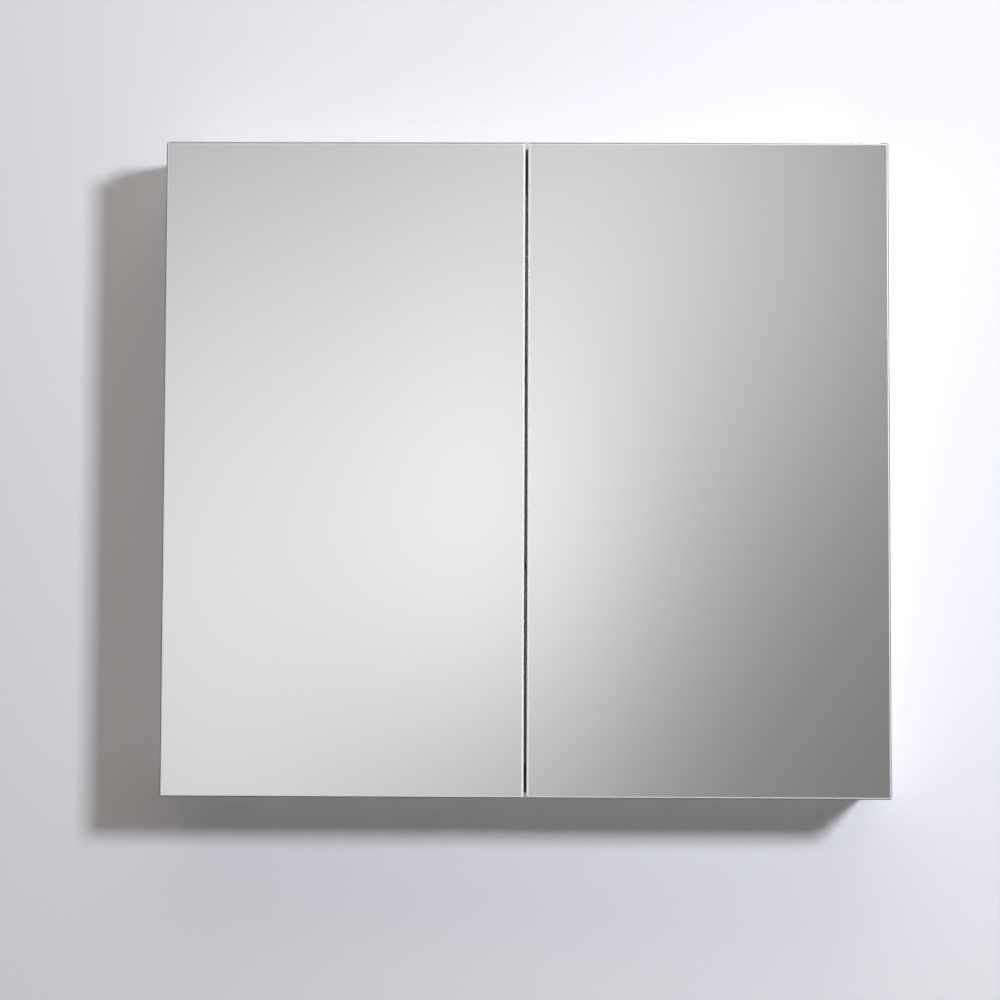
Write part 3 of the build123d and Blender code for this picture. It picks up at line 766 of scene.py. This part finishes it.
class CABINET_OT_dust_lips(bpy.types.Operator):
    """Soft dark lips on the two edges where the doors meet; their near-black colour is painted
    shade for the gap
    """

    bl_idname = "cabinet.dust_lips"
    bl_label = "Dust lips"

    def execute(self, context):
        settings = context.scene.cabinet_lips
        # the lips are real rubber parts; their near-black colour is painted shade for the door gap
        gap_shade_rubber = moulded_plastic("lip_rubber_gap_shade", settings.colour)
        for side, out in (("left", 1), ("right", -1)):
            low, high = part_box(f"{side}_door_free_edge")
            edge = high.x if out == 1 else low.x
            near, far = sorted((edge, edge + out * settings.base))
            back = high.y - settings.from_back
            piece = block_piece(
                f"{side}_door_dust_lip",
                (near, back - settings.width, low.z + settings.from_end),
                (far, back, high.z - settings.from_end),
            )
            bpy.ops.object.mode_set(mode="EDIT")
            pick_faces(piece, lambda normal: normal.x * out > 0.9)
            bpy.ops.mesh.inset(thickness=settings.width * 0.3)
            extrude_by((out * settings.reach, 0, 0))
            bpy.ops.mesh.bevel(offset=settings.base * 0.8, segments=3, affect="EDGES")
            foot = near + far - edge
            pick_edges(piece, lambda middle: abs(middle.x - foot) < TOUCHING)
            bpy.ops.mesh.bevel(offset=settings.base * 0.4, segments=2, affect="EDGES")
            finish_piece(piece, f"{side}_door", gap_shade_rubber)
        return {"FINISHED"}


class CABINET_OT_mirror_seal(bpy.types.Operator):
    """Pale sealant bead round the mirror inside the body"""

    bl_idname = "cabinet.mirror_seal"
    bl_label = "Mirror seal"

    def execute(self, context):
        settings = context.scene.cabinet_seal
        bead = settings.bead
        low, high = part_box("inner_mirror")
        play = settings.play
        piece = block_piece(
            "inner_mirror_seal",
            (low.x - play, low.y - bead, low.z - play),
            (high.x + play, low.y, high.z + play),
        )
        bpy.ops.object.mode_set(mode="EDIT")
        pick_faces(piece, lambda normal: abs(normal.y) > 0.9)
        bpy.ops.mesh.inset(thickness=play + bead, use_individual=True)
        bpy.ops.mesh.bridge_edge_loops()
        front, inner_x, inner_z = low.y - bead, high.x - bead + NEAR, high.z - bead + NEAR
        pick_edges(
            piece,
            lambda middle: abs(middle.y - front) < TOUCHING
            and abs(middle.x) < inner_x and abs(middle.z) < inner_z,
        )
        bpy.ops.mesh.bevel(offset=bead * 0.85, segments=5, profile=0.25, affect="EDGES")
        finish_piece(piece, "cabinet", silicone("seal_silicone", settings.colour))
        return {"FINISHED"}


# ---------------------------------------------------------------- studio


def stage_plane(name, size, rotation, location):
    """A flat square of the stage, its place in its mesh."""
    bpy.ops.mesh.primitive_plane_add(size=size, rotation=rotation, location=location)
    plane = bpy.context.object
    plane.name = name
    bpy.ops.object.transform_apply(location=True, rotation=True, scale=True)
    return plane


def open_wall_behind(wall):
    """A hole in the wall the size of the cabinet, so its back can be lit and looked at."""
    bpy.ops.object.mode_set(mode="EDIT")
    for corner in ((HOLE_X, 0, 0), (-HOLE_X, 0, 0), (0, 0, HOLE_Z), (0, 0, -HOLE_Z)):
        bpy.ops.mesh.select_all(action="SELECT")
        bpy.ops.mesh.bisect(plane_co=corner, plane_no=[1 if part else 0 for part in corner])
    bpy.ops.mesh.select_all(action="DESELECT")
    mesh = bmesh.from_edit_mesh(wall.data)
    for face in mesh.faces:
        middle = face.calc_center_median()
        face.select_set(abs(middle.x) < HOLE_X and abs(middle.z) < HOLE_Z)
    bmesh.update_edit_mesh(wall.data)
    bpy.ops.mesh.delete(type="FACE")
    bpy.ops.object.mode_set(mode="OBJECT")


def wall_paint(colour):
    """Matt wall paint on the room's side; from behind, the wall lets the view through."""
    finish = Finish("wall_paint")
    roller = finish.noise(260.0, 4.0)
    cloud = finish.noise(1.6, 2.0)
    patches = cloud * 0.5 + roller * 0.5
    finish.set(Base_Color=finish.blend(patches, tone(colour, 0.97), tone(colour, 1.02)))
    finish.set(Roughness=0.85, Specular_IOR_Level=0.2)
    finish.relief(roller, 0.0004, 0.25)
    behind = finish.add("ShaderNodeNewGeometry", output="Backfacing")
    clear = finish.add("ShaderNodeBsdfTransparent")
    painted = Value(finish, finish.shader.outputs[0])
    mixed = finish.add("ShaderNodeMixShader", {}, {0: behind, 1: painted, 2: clear})
    finish.feed(finish.surface, mixed)
    return finish.material


def floor_paint():
    """Plain pale floor."""
    finish = Finish("floor_paint")
    cloud = finish.noise(2.0, 3.0)
    finish.set(Base_Color=finish.blend(cloud, FLOOR_LOW, FLOOR_HIGH))
    finish.set(Roughness=0.7)
    return finish.material


def lit_board(name, ground, pools, axis):
    """Big board that the mirrors look at: soft pools of light on an even glow."""
    finish = Finish(name)
    place = finish.place()
    along, z = place[axis], place[2]
    glow = ground
    for light, (middle, middle_z), (wide, high) in pools:
        across = (along - middle) / wide
        up = (z - middle_z) / high
        glow = glow + light * (0.0 - across * across - up * up).exp()
    shine = finish.add("ShaderNodeEmission", {}, {"Color": (1.0, 1.0, 1.0, 1.0), "Strength": glow})
    finish.feed(finish.surface, shine)
    return finish.material


def add_lamp(name, place, target, power, size, colour=(1, 1, 1)):
    """Square area lamp aimed at a point."""
    lamp = bpy.data.lights.new(name, "AREA")
    lamp.energy = power
    lamp.size = size
    lamp.color = colour
    holder = bpy.data.objects.new(name, lamp)
    bpy.context.scene.collection.objects.link(holder)
    holder.location = place
    holder.rotation_euler = (Vector(target) - Vector(place)).to_track_quat("-Z", "Y").to_euler()


class CABINET_OT_studio(bpy.types.Operator):
    """Build the wall, floor, lamps and camera"""

    bl_idname = "cabinet.studio"
    bl_label = "Studio"

    def execute(self, context):
        settings = context.scene.cabinet_studio
        self.build_wall_and_floor(settings)
        self.hang_boards()
        add_lamp("key", KEY_PLACE, KEY_AIM, settings.key_power, settings.key_size, KEY_TINT)
        add_lamp(
            "overhead", OVERHEAD_PLACE, OVERHEAD_AIM, settings.overhead_power, OVERHEAD_SIZE,
            OVERHEAD_TINT,
        )
        add_lamp("behind", BEHIND_PLACE, BEHIND_AIM, settings.behind_power, BEHIND_SIZE)
        self.light_room(context)
        self.aim_camera(context, settings)
        return {"FINISHED"}

    def build_wall_and_floor(self, settings):
        """Wall with the cabinet's hole, and a floor under it."""
        middle = (0, WALL_Y, WALL_SIZE / 2 - settings.hang_height)
        wall = stage_plane("studio_wall", WALL_SIZE, (QUARTER_TURN, 0, 0), middle)
        open_wall_behind(wall)
        wall.data.materials.append(wall_paint(settings.wall_colour))
        floor = stage_plane("studio_floor", FLOOR_SIZE, (0, 0, 0), (0, 0, -settings.hang_height))
        floor.data.materials.append(floor_paint())
        floor.visible_diffuse = False

    def hang_boards(self):
        """Glowing boards that only the mirrors and glass see."""
        boards = (
            ("front", (-QUARTER_TURN, 0, 0), FRONT_BOARD, FRONT_GROUND, FRONT_POOLS, 0),
            ("left", (0, QUARTER_TURN, 0), LEFT_BOARD, LEFT_GROUND, LEFT_POOLS, 1),
            ("right", (0, -QUARTER_TURN, 0), RIGHT_BOARD, RIGHT_GROUND, RIGHT_POOLS, 1),
        )
        for side, turn, place, ground, pools, axis in boards:
            name = f"studio_{side}_board"
            board = stage_plane(name, BOARD_SIZE, turn, place)
            board.data.materials.append(lit_board(name, ground, pools, axis))
            board.visible_camera = False
            board.visible_diffuse = False

    def light_room(self, context):
        """Even light from all round, brighter from above; the camera sees one pale colour."""
        world = bpy.data.worlds.new("room")
        nodes = Nodes(world)
        up = nodes.axes(nodes.add("ShaderNodeTexCoord", output="Generated"))[2]
        light = nodes.blend(up.ramp(0.0, 1.0), ROOM_LOW, ROOM_HIGH)
        seen = nodes.add("ShaderNodeLightPath", output="Is Camera Ray")
        nodes.feed(nodes.found("BACKGROUND").inputs["Color"], nodes.blend(seen, light, ROOM_SEEN))
        context.scene.world = world
        context.scene.view_settings.view_transform = "Standard"

    def aim_camera(self, context, settings):
        """Camera in front of the cabinet, a little below its middle."""
        lens = bpy.data.cameras.new("camera")
        lens.lens = settings.lens
        lens.sensor_width = SENSOR_WIDTH
        camera = bpy.data.objects.new("camera", lens)
        context.scene.collection.objects.link(camera)
        turn = Matrix.Rotation(settings.yaw, 4, "Z") @ Matrix.Rotation(settings.pitch, 4, "X")
        turn = turn @ Matrix.Rotation(settings.roll, 4, "Y") @ Matrix.Rotation(QUARTER_TURN, 4, "X")
        camera.matrix_world = Matrix.Translation(settings.camera_place) @ turn
        context.scene.camera = camera


class CABINET_PT_panel(bpy.types.Panel):
    """Buttons for every group of pieces and for the studio"""

    bl_idname = "CABINET_PT_panel"
    bl_label = "Mirrored cabinet"
    bl_space_type = "VIEW_3D"
    bl_region_type = "UI"
    bl_category = "Cabinet"

    def draw(self, context):
        for operator in OPERATORS:
            self.layout.operator(operator.bl_idname)
        for group in GROUPS:
            settings = getattr(context.scene, group)
            for name in settings.__annotations__:
                self.layout.prop(settings, name)


GROUPS = {
    "cabinet_mirror": MirrorSettings, "cabinet_metal": MetalSettings, "cabinet_lips": LipSettings,
    "cabinet_seal": SealSettings, "cabinet_studio": StudioSettings,
}
OPERATORS = (
    CABINET_OT_mirrors, CABINET_OT_body, CABINET_OT_hinges, CABINET_OT_shelves,
    CABINET_OT_rounded_hinges, CABINET_OT_dust_lips, CABINET_OT_mirror_seal, CABINET_OT_studio,
)


def register():
    for item in (*GROUPS.values(), *OPERATORS, CABINET_PT_panel):
        bpy.utils.register_class(item)
    for name, item in GROUPS.items():
        setattr(bpy.types.Scene, name, PointerProperty(type=item))


def unregister():
    for name in GROUPS:
        delattr(bpy.types.Scene, name)
    for item in reversed((*GROUPS.values(), *OPERATORS, CABINET_PT_panel)):
        bpy.utils.unregister_class(item)


def main():
    register()
    bpy.ops.object.select_all(action="DESELECT")
    bpy.ops.cabinet.mirrors()
    bpy.ops.cabinet.body()
    bpy.ops.cabinet.hinges()
    bpy.ops.cabinet.shelves()
    bpy.ops.cabinet.rounded_hinges()
    bpy.ops.cabinet.dust_lips()
    bpy.ops.cabinet.mirror_seal()
    bpy.ops.cabinet.studio()


if __name__ == "__main__":
    main()
